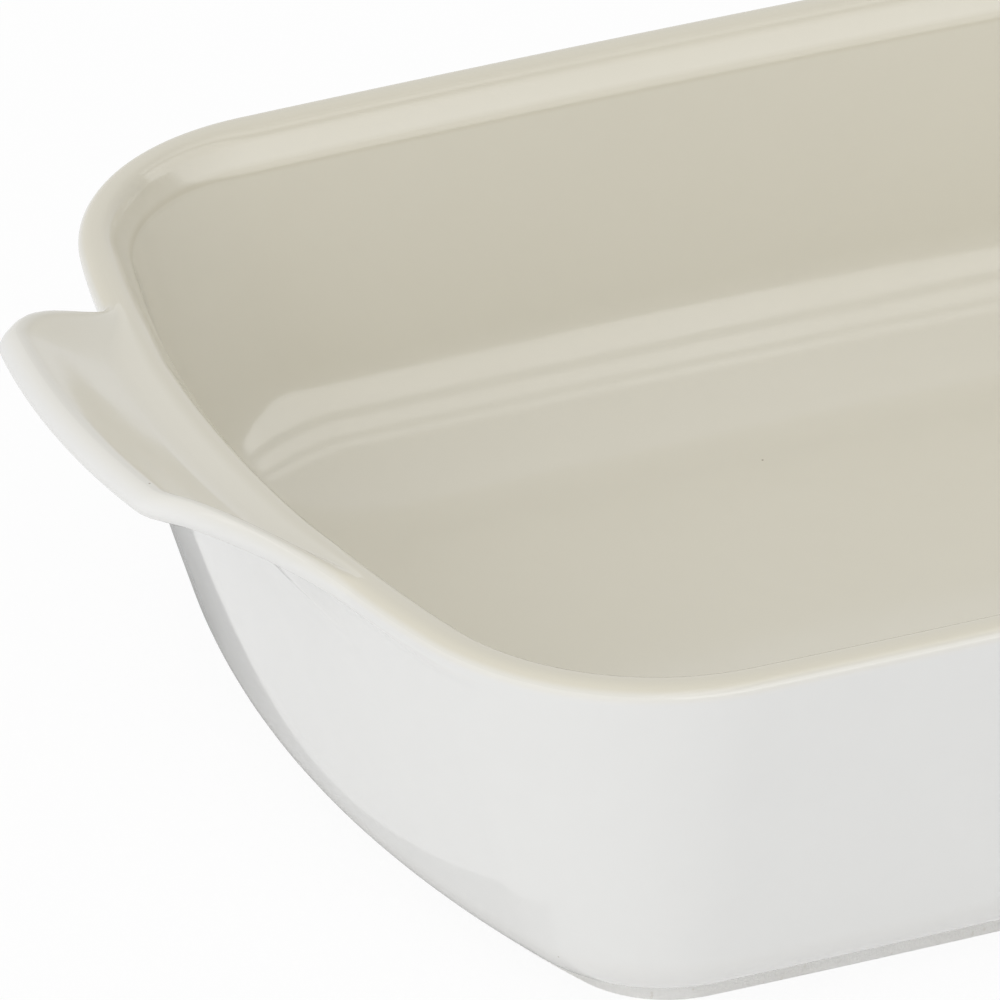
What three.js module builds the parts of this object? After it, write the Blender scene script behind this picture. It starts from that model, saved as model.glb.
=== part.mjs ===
// Square stoneware baking dish with bowed ends and two upswept wing handles.
// Millimetres, +Z up. The dish stands on its foot ring at Z = 0 and the handles lie along X.
import * as THREE from 'three';

// Driving dimensions: the glazed rim, without the handles
const RIM_LENGTH = 270;
const RIM_WIDTH = 230;
const RIM_HEIGHT = 78;
const END_BOW = 19.6;
const SIDE_BOW = 2.7;
const RIM_CORNER_RADIUS = 47.5;

// Driving dimensions: wall, lip and floor
const WALL_DRAFT = THREE.MathUtils.degToRad(13.8);
const WALL_BULGE = 0.5;
const WALL_THICKNESS = 6.7;
const LIP_WIDTH = 4.2;
const LIP_ROUND = 2.1;
const BEVEL_DEPTH = 7.1;
const FLOOR_THICKNESS = 6.5;
const FLOOR_FILLET = 30;

// Driving dimensions: bottom edge, foot ring and the recess inside it
const BOTTOM_RADIUS = 15.3;
const BOTTOM_LIFT = 2.85;
const FOOT_HEIGHT = 3.5;
const FOOT_WIDTH = 7;
const FOOT_CHAMFER = 0.8;
const RECESS_DEPTH = 3;

// Driving dimensions: wing handles, on top and underneath
const WING_REACH = 28.6;
const WING_RISE = 12.4;
const WING_THICKNESS = 4.4;
const WING_HALF_WIDTH = 55.9;
const WING_SHOULDER = 25.3;
const RISE_SHOULDER = 21.2;
const UNDER_HALF_WIDTH = 52.8;
const UNDER_SHOULDER = 34.5;
const WING_ROOT = 20;
const WING_SHELF = 6;

// Driving dimensions: the wing's bead, and the ridge that carries it on along the lip to the corner
const BEAD_WIDTH = 3;
const BEAD_DROP = 2.2;
const BEAD_LEAN = 0.3;
const BEAD_UNDERCUT = 2;
const RIDGE_PROUD = 1;
const RIDGE_FROM = 58;
const RIDGE_TO = 93;

// How much the wing's edge is crowned, and its section as shares of its reach, rise and thickness
const WING_CROWN = 0.14;
const HOLLOW = { out: 0.22, up: 0.04 };
const SLOPE = { out: 0.5, up: 0.4 };
const SHELF_RISE = 0.77;
const BEAD_FACE = 0.78;

// The wing's underside from the bead to the wall: share of the reach, drop under the bead, and depth on the wall
const UNDERSIDE = [
  { out: 0.75, drop: 0.8, depth: 1.5 },
  { out: 0.42, drop: 4.5, depth: 4 },
  { out: 0.13, drop: 11, depth: 8 },
];

// Driving dimensions: glaze coats
const GLAZE_THICKNESS = 0.5;
const BOND_GAP = 0.05;
const GLAZE_LINE = 0.4;

// How fast the corner radius shrinks with the inset of an outline, outside and inside
const OUTER_SHRINK = 1.1;
const INNER_SHRINK = 0.7;

// Steps of the mesh, for a quarter of an outline and for the round stretches of the section
const END_STEPS = 13;
const CORNER_STEPS = 5;
const SIDE_STEPS = 2;
const FILLET_STEPS = 5;
const LIP_STEPS = 5;
const BOTTOM_STEPS = 4;

// The stoneware is smaller than the glazed dish by the coat on its outside
const COAT = BOND_GAP + GLAZE_THICKNESS;
const BODY_LENGTH = RIM_LENGTH - 2 * COAT;
const BODY_WIDTH = RIM_WIDTH - 2 * COAT;
const LIP_TOP = RIM_HEIGHT - COAT;
const FLOOR_TOP = RECESS_DEPTH + FLOOR_THICKNESS;

// A quarter of the outline at an inset: the bowed end, the corner arc, then the bowed side
function quarterOutline(inset, shrink) {
  const halfX = BODY_LENGTH / 2 - inset;
  const halfY = BODY_WIDTH / 2 - inset;
  const corner = RIM_CORNER_RADIUS - shrink * inset;
  const endRadius = (halfY ** 2 + END_BOW ** 2) / (2 * END_BOW);
  const sideRadius = (halfX ** 2 + SIDE_BOW ** 2) / (2 * SIDE_BOW);
  const endCentre = new THREE.Vector2(halfX - endRadius, 0);
  const sideCentre = new THREE.Vector2(0, halfY - sideRadius);
  const cornerCentre = meetingPoint(endCentre, endRadius - corner, sideCentre, sideRadius - corner);
  const endAngle = cornerCentre.clone().sub(endCentre).angle();
  const sideAngle = cornerCentre.clone().sub(sideCentre).angle();
  return [
    ...arcPoints(endCentre, endRadius, 0, endAngle, END_STEPS),
    ...arcPoints(cornerCentre, corner, endAngle, sideAngle, CORNER_STEPS),
    ...arcPoints(sideCentre, sideRadius, sideAngle, Math.PI / 2, SIDE_STEPS),
    new THREE.Vector2(0, halfY),
  ];
}

// Where two circles cross, on the side away from the origin
function meetingPoint(centreA, radiusA, centreB, radiusB) {
  const between = centreB.clone().sub(centreA);
  const distance = between.length();
  const along = (radiusA ** 2 - radiusB ** 2 + distance ** 2) / (2 * distance);
  const across = Math.sqrt(radiusA ** 2 - along ** 2);
  between.normalize();
  const foot = centreA.clone().addScaledVector(between, along);
  const normal = new THREE.Vector2(-between.y, between.x);
  const first = foot.clone().addScaledVector(normal, across);
  const second = foot.clone().addScaledVector(normal, -across);
  return first.x + first.y > second.x + second.y ? first : second;
}

// Points along an arc, without its last one
function arcPoints(centre, radius, from, to, steps) {
  const points = [];
  for (let i = 0; i < steps; i += 1) {
    const angle = from + ((to - from) * i) / steps;
    points.push(new THREE.Vector2(centre.x + radius * Math.cos(angle), centre.y + radius * Math.sin(angle)));
  }
  return points;
}

// The whole outline, anticlockwise from +X, as the quarter and its three mirror images
function outline(inset, shrink) {
  const quarter = quarterOutline(inset, shrink);
  const last = quarter.length - 1;
  const left = quarter.slice(0, last).reverse().map((p) => new THREE.Vector2(-p.x, p.y));
  const half = [...quarter, ...left];
  const under = half.slice(1, -1).reverse().map((p) => new THREE.Vector2(p.x, -p.y));
  return [...half, ...under];
}

// Share that is whole at the middle of the end and fades out over a shoulder up to a half width
function wingShare(y, halfWidth, shoulder) {
  return 1 - THREE.MathUtils.smoothstep(Math.abs(y), halfWidth - shoulder, halfWidth);
}

// Inset of the outer wall at a height, with its slight bulge
const WALL_TOP = LIP_TOP - LIP_ROUND;
const BOTTOM_CENTRE = BOTTOM_LIFT + BOTTOM_RADIUS;
const WALL_FOOT = BOTTOM_CENTRE - BOTTOM_RADIUS * Math.sin(WALL_DRAFT);
function wallInset(z) {
  const share = (WALL_TOP - z) / (WALL_TOP - WALL_FOOT);
  return (WALL_TOP - z) * Math.tan(WALL_DRAFT) - WALL_BULGE * 4 * share * (1 - share);
}

// A station of the section: its inset and height, and where it goes on the wing handles
function station(inset, z, shrink, wing) {
  return { inset, z, shrink, wing };
}

// Inside, from the edge of the floor up the fillet and the wall to the crease under the lip
function innerStations() {
  const bevelFoot = LIP_TOP - BEVEL_DEPTH;
  const creaseInset = wallInset(bevelFoot) + WALL_THICKNESS;
  const filletTop = FLOOR_TOP + FLOOR_FILLET * (1 - Math.sin(WALL_DRAFT));
  const filletInset = creaseInset + (bevelFoot - filletTop) * Math.tan(WALL_DRAFT);
  const centreInset = filletInset + FLOOR_FILLET * Math.cos(WALL_DRAFT);
  const stations = [];
  for (let i = 0; i <= FILLET_STEPS; i += 1) {
    const angle = Math.PI / 2 + ((WALL_DRAFT - Math.PI / 2) * i) / FILLET_STEPS;
    const inset = centreInset - FLOOR_FILLET * Math.cos(angle);
    const z = FLOOR_TOP + FLOOR_FILLET * (1 - Math.sin(angle));
    stations.push(station(inset, z, INNER_SHRINK));
  }
  stations.push(station(creaseInset, bevelFoot, INNER_SHRINK));
  return stations;
}

// A station on the lip's rounded outer edge, a number of steps round from its top
function lipStation(step, wing) {
  const angle = ((Math.PI / 2) * step) / LIP_STEPS;
  const inset = LIP_ROUND * (1 - Math.sin(angle));
  return station(inset, LIP_TOP - LIP_ROUND * (1 - Math.cos(angle)), 1, { ...wing, ridge: RIDGE_PROUD });
}

// A station on the outer wall at a depth under the lip's top
function wallStation(depth, wing) {
  return station(wallInset(LIP_TOP - depth), LIP_TOP - depth, OUTER_SHRINK, wing);
}

// The lip's top, from its inner edge to the line inside the bead's crest where the inside glaze stops
function lipTopStations() {
  const flat = (LIP_WIDTH + LIP_ROUND) / 2;
  const shelf = { out: WING_REACH - WING_SHELF, up: WING_RISE * SHELF_RISE };
  const crestSlope = (WING_RISE - shelf.up) / (WING_SHELF - BEAD_WIDTH);
  const line = { out: WING_REACH - BEAD_WIDTH - GLAZE_LINE, up: WING_RISE - GLAZE_LINE * crestSlope };
  return [
    station(LIP_WIDTH, LIP_TOP, 1, { out: -LIP_WIDTH, up: 0, ridge: 0 }),
    station(flat, LIP_TOP, 1, { out: -LIP_ROUND / 2, up: 0, ridge: 0 }),
    lipStation(0, { out: WING_REACH * HOLLOW.out, up: WING_RISE * HOLLOW.up }),
    lipStation(1, { out: WING_REACH * SLOPE.out, up: WING_RISE * SLOPE.up }),
    lipStation(2, shelf),
    lipStation(3, line),
  ];
}

// The lip's outside, from the crest of the wing's bead and back along its underside to the wall
function lipOutsideStations() {
  const beadFoot = WING_RISE - WING_THICKNESS;
  const face = WING_THICKNESS * BEAD_FACE;
  return [
    lipStation(4, { out: WING_REACH - BEAD_WIDTH, up: WING_RISE }),
    lipStation(LIP_STEPS, { out: WING_REACH, up: WING_RISE - BEAD_DROP }),
    wallStation(face, { out: WING_REACH - BEAD_LEAN, up: WING_RISE - face, ridge: RIDGE_PROUD }),
    wallStation(WING_THICKNESS, { out: WING_REACH - BEAD_UNDERCUT, up: beadFoot, ridge: RIDGE_PROUD }),
    ...UNDERSIDE.map(({ out, drop, depth }) => (
      wallStation(WING_THICKNESS + depth, { out: WING_REACH * out, up: beadFoot - drop, under: true })
    )),
    wallStation(WING_ROOT),
  ];
}

// The lower wall and the rounded bottom edge, down to the foot's top
const FOOT_ANGLE = Math.asin((BOTTOM_CENTRE - FOOT_HEIGHT) / BOTTOM_RADIUS);
const BOTTOM_CENTRE_INSET = wallInset(WALL_FOOT) + BOTTOM_RADIUS * Math.cos(WALL_DRAFT);
const FOOT_INSET = BOTTOM_CENTRE_INSET - BOTTOM_RADIUS * Math.cos(FOOT_ANGLE);
function wallStations() {
  const middle = (LIP_TOP - WING_ROOT + WALL_FOOT) / 2;
  const stations = [station(wallInset(middle), middle, OUTER_SHRINK)];
  for (let i = 0; i <= BOTTOM_STEPS; i += 1) {
    const angle = WALL_DRAFT + ((FOOT_ANGLE - WALL_DRAFT) * i) / BOTTOM_STEPS;
    const inset = BOTTOM_CENTRE_INSET - BOTTOM_RADIUS * Math.cos(angle);
    stations.push(station(inset, BOTTOM_CENTRE - BOTTOM_RADIUS * Math.sin(angle), OUTER_SHRINK));
  }
  return stations;
}

// The bare foot ring: outer face, flat standing face and inner face
function footStations() {
  const inner = FOOT_INSET + FOOT_WIDTH;
  return [
    station(FOOT_INSET, FOOT_CHAMFER, OUTER_SHRINK),
    station(FOOT_INSET + FOOT_CHAMFER, 0, OUTER_SHRINK),
    station(inner - FOOT_CHAMFER, 0, INNER_SHRINK),
    station(inner, FOOT_CHAMFER, INNER_SHRINK),
  ];
}

// The recess inside the foot ring, from its round edge to a ring on its flat top
function recessStations() {
  const edge = FOOT_INSET + FOOT_WIDTH;
  return [
    station(edge + GLAZE_LINE, RECESS_DEPTH / 2, INNER_SHRINK),
    station(edge + RECESS_DEPTH, RECESS_DEPTH, INNER_SHRINK),
  ];
}

// Shares of the wing's reach and rise at a distance from the middle of the end
function wingShares(y, under) {
  if (under) {
    const share = wingShare(y, UNDER_HALF_WIDTH, UNDER_SHOULDER);
    return { out: share, up: share, ridge: 0 };
  }
  const crown = 1 - WING_CROWN * (y / WING_HALF_WIDTH) ** 2;
  const out = wingShare(y, WING_HALF_WIDTH, WING_SHOULDER) * crown;
  const ridge = (1 - out) * wingShare(y, RIDGE_TO, RIDGE_TO - RIDGE_FROM);
  return { out, up: wingShare(y, WING_HALF_WIDTH, RISE_SHOULDER), ridge };
}

// One ring of points round the dish for a station, pulled out to the wings at the ends
function ring({ inset, z, shrink, wing }) {
  return outline(inset, shrink).map((p) => {
    if (!wing) {
      return new THREE.Vector3(p.x, p.y, z);
    }
    const share = wingShares(p.y, wing.under);
    const out = share.out * (wing.out + inset) + share.ridge * (wing.ridge ?? 0);
    const height = THREE.MathUtils.lerp(z, LIP_TOP + wing.up, share.up);
    return new THREE.Vector3(p.x + Math.sign(p.x) * out, p.y, height);
  });
}

// Outward normals at every point of a grid of rings
function ringNormals(rings) {
  const count = rings[0].length;
  return rings.map((points, r) => points.map((point, c) => {
    const before = rings[Math.max(r - 1, 0)][c];
    const after = rings[Math.min(r + 1, rings.length - 1)][c];
    const across = after.clone().sub(before);
    const round = points[(c + 1) % count].clone().sub(points[(c + count - 1) % count]);
    return across.cross(round).normalize();
  }));
}

// Triangles of one band between two rings, given where each ring's points start
function bandFaces(low, high, count, inward = false) {
  const faces = [];
  for (let c = 0; c < count; c += 1) {
    const next = (c + 1) % count;
    faces.push(...facing([low + c, high + c, high + next], inward));
    faces.push(...facing([low + c, high + next, low + next], inward));
  }
  return faces;
}

// Triangles from a ring to the point in its middle
function fanFaces(middle, start, count, inward = false) {
  const faces = [];
  for (let c = 0; c < count; c += 1) {
    faces.push(...facing([middle, start + c, start + ((c + 1) % count)], inward));
  }
  return faces;
}

function facing([a, b, c], inward) {
  return inward ? [a, c, b] : [a, b, c];
}

// Triangles of all the bands of a grid of rings whose points start at an index
function gridFaces(start, ringCount, count, inward = false) {
  const faces = [];
  for (let r = 0; r < ringCount - 1; r += 1) {
    faces.push(...bandFaces(start + r * count, start + (r + 1) * count, count, inward));
  }
  return faces;
}

function middleOf(points) {
  return new THREE.Vector3(0, 0, points[0].z);
}

// A closed surface from rings, with a point in the middle of the first and of the last ring
function closedByMiddles(rings) {
  const count = rings[0].length;
  const last = rings.length - 1;
  const middle = rings.length * count;
  const positions = [...rings.flat(), middleOf(rings[0]), middleOf(rings[last])];
  const faces = [
    ...gridFaces(0, rings.length, count),
    ...fanFaces(middle, 0, count),
    ...fanFaces(middle + 1, last * count, count, true),
  ];
  return meshGeometry(positions, faces);
}

function meshGeometry(positions, faces) {
  const geometry = new THREE.BufferGeometry();
  const values = positions.flatMap((p) => [p.x, p.y, p.z]);
  geometry.setAttribute('position', new THREE.Float32BufferAttribute(values, 3));
  geometry.setIndex(faces);
  geometry.computeVertexNormals();
  return geometry;
}

// Rings moved off the stoneware along its normals
function lifted(rings, normals, height) {
  return rings.map((points, r) => points.map((p, c) => p.clone().addScaledVector(normals[r][c], height)));
}

// A coat over a run of rings: two skins, joined at each edge or closed over the flat middle it covers
function coat(rings, normals, flatEnd) {
  const count = rings[0].length;
  const last = rings.length - 1;
  const outer = lifted(rings, normals, BOND_GAP + GLAZE_THICKNESS);
  const inner = lifted(rings, normals, BOND_GAP);
  const innerStart = rings.length * count;
  const middle = 2 * innerStart;
  const positions = [...outer.flat(), ...inner.flat()];
  const faces = [...gridFaces(0, rings.length, count), ...gridFaces(innerStart, rings.length, count, true)];
  if (flatEnd === 'first') {
    positions.push(middleOf(outer[0]), middleOf(inner[0]));
    faces.push(...fanFaces(middle, 0, count), ...fanFaces(middle + 1, innerStart, count, true));
  } else {
    faces.push(...bandFaces(innerStart, 0, count));
  }
  const outerEdge = last * count;
  const innerEdge = innerStart + last * count;
  if (flatEnd === 'last') {
    positions.push(middleOf(outer[last]), middleOf(inner[last]));
    faces.push(...fanFaces(middle, outerEdge, count, true), ...fanFaces(middle + 1, innerEdge, count));
  } else {
    faces.push(...bandFaces(outerEdge, innerEdge, count));
  }
  return meshGeometry(positions, faces);
}

function named(name, geometry, color, roughness) {
  const material = new THREE.MeshStandardMaterial({ color, roughness, metalness: 0 });
  const mesh = new THREE.Mesh(geometry, material);
  mesh.name = name;
  return mesh;
}

const insideRings = [...innerStations(), ...lipTopStations()].map(ring);
const outsideRings = [...lipOutsideStations(), ...wallStations()].map(ring);
const footRings = footStations().map(ring);
const recessRings = recessStations().map(ring);
const bodyRings = [...insideRings, ...outsideRings, ...footRings, ...recessRings];
const bodyNormals = ringNormals(bodyRings);

const insideEnd = insideRings.length;
const outsideEnd = insideEnd + outsideRings.length;
const recessStart = outsideEnd + footRings.length;
const insideNormals = bodyNormals.slice(0, insideEnd);
const outsideNormals = bodyNormals.slice(insideEnd, outsideEnd);
const recessNormals = bodyNormals.slice(recessStart);
insideNormals[0] = insideNormals[0].map(() => new THREE.Vector3(0, 0, 1));
recessNormals[recessNormals.length - 1] = recessNormals[1].map(() => new THREE.Vector3(0, 0, -1));

const dish = new THREE.Group();
dish.add(named('stoneware_body', closedByMiddles(bodyRings), 0xe6dfcf, 0.85));
dish.add(named('interior_glaze', coat(insideRings, insideNormals, 'first'), 0xd8d0ba, 0.15));
dish.add(named('exterior_glaze', coat(outsideRings, outsideNormals, 'none'), 0xf1f1ee, 0.12));
dish.add(named('underside_glaze', coat(recessRings, recessNormals, 'last'), 0xf1f1ee, 0.12));

export default dish;
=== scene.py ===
"""Square stoneware baking dish with two wing handles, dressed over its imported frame."""

import math

import bpy
import numpy as np
from bpy.props import FloatProperty, FloatVectorProperty, IntProperty, PointerProperty
from bpy.types import Operator, Panel, PropertyGroup
from mathutils import Matrix, Vector


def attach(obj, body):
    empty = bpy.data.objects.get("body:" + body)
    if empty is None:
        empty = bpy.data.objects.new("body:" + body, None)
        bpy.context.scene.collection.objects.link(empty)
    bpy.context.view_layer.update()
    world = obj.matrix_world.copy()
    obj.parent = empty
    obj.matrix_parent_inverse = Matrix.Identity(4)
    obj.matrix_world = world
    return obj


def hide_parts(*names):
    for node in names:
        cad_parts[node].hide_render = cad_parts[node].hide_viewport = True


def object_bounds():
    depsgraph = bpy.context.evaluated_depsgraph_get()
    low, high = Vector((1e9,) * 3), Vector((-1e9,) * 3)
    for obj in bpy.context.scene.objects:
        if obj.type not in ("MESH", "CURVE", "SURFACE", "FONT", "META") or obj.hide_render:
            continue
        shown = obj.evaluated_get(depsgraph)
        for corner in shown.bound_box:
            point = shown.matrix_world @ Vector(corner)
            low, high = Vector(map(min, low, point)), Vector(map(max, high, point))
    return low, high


bl_info = {
    "name": "Square Baking Dish",
    "version": (1, 0, 0),
    "blender": (4, 5, 0),
    "location": "View3D > Sidebar > Baking Dish",
    "description": "Builds a glazed square baking dish with wing handles, and its studio",
    "category": "Add Mesh",
}

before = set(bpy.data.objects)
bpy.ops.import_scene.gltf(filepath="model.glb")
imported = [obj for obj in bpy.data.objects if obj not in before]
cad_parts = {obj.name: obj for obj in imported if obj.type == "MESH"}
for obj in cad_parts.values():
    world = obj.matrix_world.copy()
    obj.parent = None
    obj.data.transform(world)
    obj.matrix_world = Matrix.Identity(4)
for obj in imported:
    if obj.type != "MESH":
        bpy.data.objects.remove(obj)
FRAME_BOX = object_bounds()

# Columns of a section's rows: its inset, height and corner shrink, then where the wing handles take it
INSET, HEIGHT, SHRINK, OUT, UP, WING, UNDER, RIDGE = range(8)


# Properties


def length(name, description, default):
    return FloatProperty(name=name, description=description, default=default, unit="LENGTH", precision=5)


def share(name, description, default):
    return FloatProperty(name=name, description=description, default=default, precision=3)


def degrees(name, description, default):
    return FloatProperty(name=name, description=description, default=math.radians(default), subtype="ANGLE")


def number(name, description, default):
    return IntProperty(name=name, description=description, default=default)


def colour(name, description, default):
    return FloatVectorProperty(
        name=name, description=description, default=default, subtype="COLOR", size=3, min=0.0, max=1.0
    )


class DishRim(PropertyGroup):
    """Outline of the glazed rim and shape of its lip"""

    long: length("Length", "Rim length between the handles", 0.270)
    wide: length("Width", "Rim width across the dish", 0.230)
    high: length("Height", "Height of the rim over the table", 0.078)
    end_bow: length("End bow", "How far the ends bow out under the handles", 0.0196)
    side_bow: length("Side bow", "How far the sides bow out", 0.0027)
    corner_radius: length("Corner radius", "Radius of the rim's corners", 0.0475)
    lip_width: length("Lip width", "Width of the lip's top", 0.0042)
    lip_round: length("Lip round", "Radius of the lip's outer edge", 0.0021)
    bevel_depth: length("Bevel depth", "Height of the bevel inside the lip", 0.0071)


class DishWall(PropertyGroup):
    """Section of the wall, the floor and the foot ring"""

    draft: degrees("Draft", "Lean of the walls", 13.8)
    bulge: length("Bulge", "Swell of the outer wall halfway up", 0.0005)
    thickness: length("Thickness", "Wall thickness under the bevel", 0.0067)
    floor_thickness: length("Floor thickness", "Thickness of the floor", 0.0065)
    floor_fillet: length("Floor fillet", "Radius between the floor and the inner wall", 0.030)
    bottom_radius: length("Bottom radius", "Radius between the outer wall and the foot", 0.0153)
    bottom_lift: length("Bottom lift", "Height of that radius over the table", 0.00285)
    foot_height: length("Foot height", "Height of the bare foot ring", 0.0037)
    foot_width: length("Foot width", "Width of the foot ring", 0.007)
    foot_chamfer: length("Foot chamfer", "Chamfer of the foot ring's edges", 0.0003)
    recess_depth: length("Recess depth", "Depth of the recess inside the foot ring", 0.003)
    outer_shrink: share("Outer shrink", "Loss of corner radius for each unit of inset outside", 1.1)
    inner_shrink: share("Inner shrink", "Loss of corner radius for each unit of inset inside", 0.7)
    crease_shrink: share("Crease shrink", "Loss of corner radius for each unit of inset at the crease", 1.6)


class DishWing(PropertyGroup):
    """Wing handles that are drawn out of the rim at both ends"""

    reach: length("Reach", "How far a handle stands out from the rim", 0.0286)
    rise: length("Rise", "How far its bead rises over the lip", 0.0124)
    thickness: length("Thickness", "Thickness of its bead", 0.0044)
    half_width: length("Half width", "Half of its width along the rim", 0.0559)
    shoulder: length("Shoulder", "Length over which its reach fades", 0.0253)
    rise_shoulder: length("Rise shoulder", "Length over which its rise fades", 0.0212)
    under_half_width: length("Underside half width", "Half width of its underside", 0.0450)
    under_shoulder: length("Underside shoulder", "Length over which its underside fades", 0.0400)
    root: length("Root", "Depth under the lip where it leaves the wall", 0.020)
    shelf: length("Shelf", "Distance from its outer edge to the foot of the bead", 0.006)
    cream_edge: length("Cream edge", "Distance from its outer edge to the glaze line", 0.0032)
    bead_width: length("Bead width", "Distance from its outer edge to the bead's crest", 0.003)
    bead_drop: length("Bead drop", "Height from its outer edge to the bead's crest", 0.0022)
    bead_lean: length("Bead lean", "Lean of the bead's outer face", 0.0003)
    bead_undercut: length("Bead undercut", "Undercut of the bead's lower edge", 0.002)
    ridge_proud: length("Ridge", "How far the ridge beside a handle stands proud", 0.001)
    ridge_from: length("Ridge start", "Distance from the middle where the ridge starts to fade", 0.058)
    ridge_to: length("Ridge end", "Distance from the middle where the ridge ends", 0.093)
    crown: share("Crown", "How much its outer edge curves back", 0.14)


class DishGlaze(PropertyGroup):
    """Glaze coats and the colours of the fired dish"""

    thickness: length("Thickness", "Thickness of a glaze coat", 0.0005)
    bond: length("Bond", "Gap between a glaze coat and the stoneware", 0.00005)
    meeting: length("Meeting", "Width over which the two glazes run into each other", 0.0035)
    line: length("Line", "Bare line between the underside glaze and the foot ring", 0.0004)
    cream: colour("Cream", "Glaze inside the dish", (0.728, 0.700, 0.608))
    cream_deep: colour("Deep cream", "Cream glaze where it pools", (0.712, 0.683, 0.588))
    # Thin cream is darker and yellower: partly the glaze's thin tint, partly painted shade on the lip's
    # rounded edges
    cream_thin_and_shade: colour("Thin cream", "Cream glaze where it runs thin over edges", (0.665, 0.632, 0.530))
    white: colour("White", "Glaze outside the dish", (0.778, 0.778, 0.764))
    white_deep: colour("Deep white", "White glaze where it pools", (0.755, 0.755, 0.743))
    white_thin: colour("Thin white", "White glaze where it runs thin over edges", (0.775, 0.772, 0.755))
    # Its own pale tone, lightened further with painted light for the foot ring that the wall's overhang
    # shades
    clay_and_painted_light: colour("Clay", "Bare stoneware of the foot ring", (0.930, 0.925, 0.905))
    clay_dark: colour("Dark clay", "Grains in the stoneware", (0.800, 0.775, 0.725))
    speck: colour("Speck", "Fired specks in the glaze", (0.330, 0.285, 0.215))
    cream_roughness: share("Cream roughness", "Least roughness of the cream glaze", 0.10)
    white_roughness: share("White roughness", "Least roughness of the white glaze", 0.05)


class DishGrid(PropertyGroup):
    """Fineness of the surfaces"""

    end_steps: number("End steps", "Steps along half of an end", 52)
    corner_steps: number("Corner steps", "Steps round a corner", 30)
    side_steps: number("Side steps", "Steps along half of a side", 18)
    wall_steps: number("Wall steps", "Steps down the outer wall", 7)
    arc_steps: number("Arc steps", "Steps along a round stretch of the section", 12)
    recess_steps: number("Recess steps", "Steps round the edge of the recess", 6)
    soft_points: number("Soft points", "Points round a softened corner of the section", 5)


class DishStudio(PropertyGroup):
    """Camera, floor and lights"""

    azimuth: degrees("Azimuth", "Camera direction", -24.194)
    elevation: degrees("Elevation", "Camera height", 29.175)
    distance: length("Distance", "Camera distance", 2.17401)
    aim_right: length("Aim right", "Aim point to the right of the origin, in the picture", -0.07139)
    aim_up: length("Aim up", "Aim point over the origin, in the picture", 0.03147)
    lens: FloatProperty(name="Lens", description="Focal length in mm on a 36 mm sensor", default=429.8)
    floor_radius: length("Floor radius", "Radius of the studio floor", 5.0)
    floor: colour("Floor", "Colour of the floor", (0.93, 0.93, 0.93))
    floor_glow: share("Floor glow", "Share of plain white in the floor as the camera sees it", 0.92)
    floor_mirror: share("Floor mirror", "Share of plain white in the floor as reflections see it", 0.70)
    sky: share("Sky", "Strength of the dome overhead", 0.78)
    horizon: share("Horizon", "Strength of the dome at the horizon", 0.60)
    front: share("Front", "Strength that the dome gains towards the front", 0.80)
    softboxes: share("Softboxes", "Brightness of the brightest softbox", 1.55)


class BakingDish(PropertyGroup):
    """All the settings of the dish"""

    rim: PointerProperty(type=DishRim)
    wall: PointerProperty(type=DishWall)
    wing: PointerProperty(type=DishWing)
    glaze: PointerProperty(type=DishGlaze)
    grid: PointerProperty(type=DishGrid)
    studio: PointerProperty(type=DishStudio)


# Surfaces


def smoothstep(value, start, end):
    """Zero before start, one after end, and the smooth cubic between them."""
    t = np.clip((value - start) / (end - start), 0.0, 1.0)
    return t * t * (3.0 - 2.0 * t)


def fading(distance, half_width, shoulder):
    """One at the middle, falling smoothly to zero over a shoulder that ends at the half width."""
    return 1.0 - smoothstep(np.abs(distance), half_width - shoulder, half_width)


# Rows of a section that differ by less than this are one row
SAME_ROW = 1e-7


def soften(knots, shares, points):
    """Rows along a polyline of knots, each corner replaced by the quadratic arc that leaves it at a share of
    the two stretches beside it, so a share of a half makes a smooth curve and zero keeps the corner."""
    before, at, after = knots[:-2], knots[1:-1], knots[2:]
    reach = shares[1:-1, None]
    start = (at + reach * (before - at))[:, None]
    end = (at + reach * (after - at))[:, None]
    t = np.linspace(0.0, 1.0, points)[None, :, None]
    arcs = (1.0 - t) ** 2 * start + 2.0 * t * (1.0 - t) * at[:, None] + t**2 * end
    rows = np.concatenate([knots[:1], arcs.reshape(-1, knots.shape[1]), knots[-1:]])
    apart = np.abs(np.diff(rows, axis=0)).max(axis=1) > SAME_ROW
    return rows[np.concatenate([[True], apart])]


def arc_share(steps):
    return np.linspace(0.0, 1.0, steps + 1)


# Share of the bevel that the rounding at the inner crease takes on each side
CREASE_ROUND = 0.2

# A fifth of the quarter circle round the lip's outer edge
LIP_STEP = np.pi / 10

# Shares of a wing's reach and rise: in the hollow behind the lip, up the slope and on the shelf by the bead
HOLLOW_OUT = 0.22
HOLLOW_UP = 0.04
SLOPE_OUT = 0.5
SLOPE_UP = 0.4
SHELF_UP = 0.86

# Share of the bead's thickness that its outer face takes
BEAD_FACE = 0.78

# A wing's underside: share of its reach, drop under the bead's lower edge, depth on the wall beside the wing
UNDERSIDE = ((0.75, 0.0008, 0.0015), (0.42, 0.0045, 0.004), (0.13, 0.011, 0.008))

# How far the corners of the section are softened
CREASE_SOFTNESS = 0.5
LIP_SOFTNESS = (0.5, 0.25, 0.4, 0.4)
WING_SOFTNESS = 0.45


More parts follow.
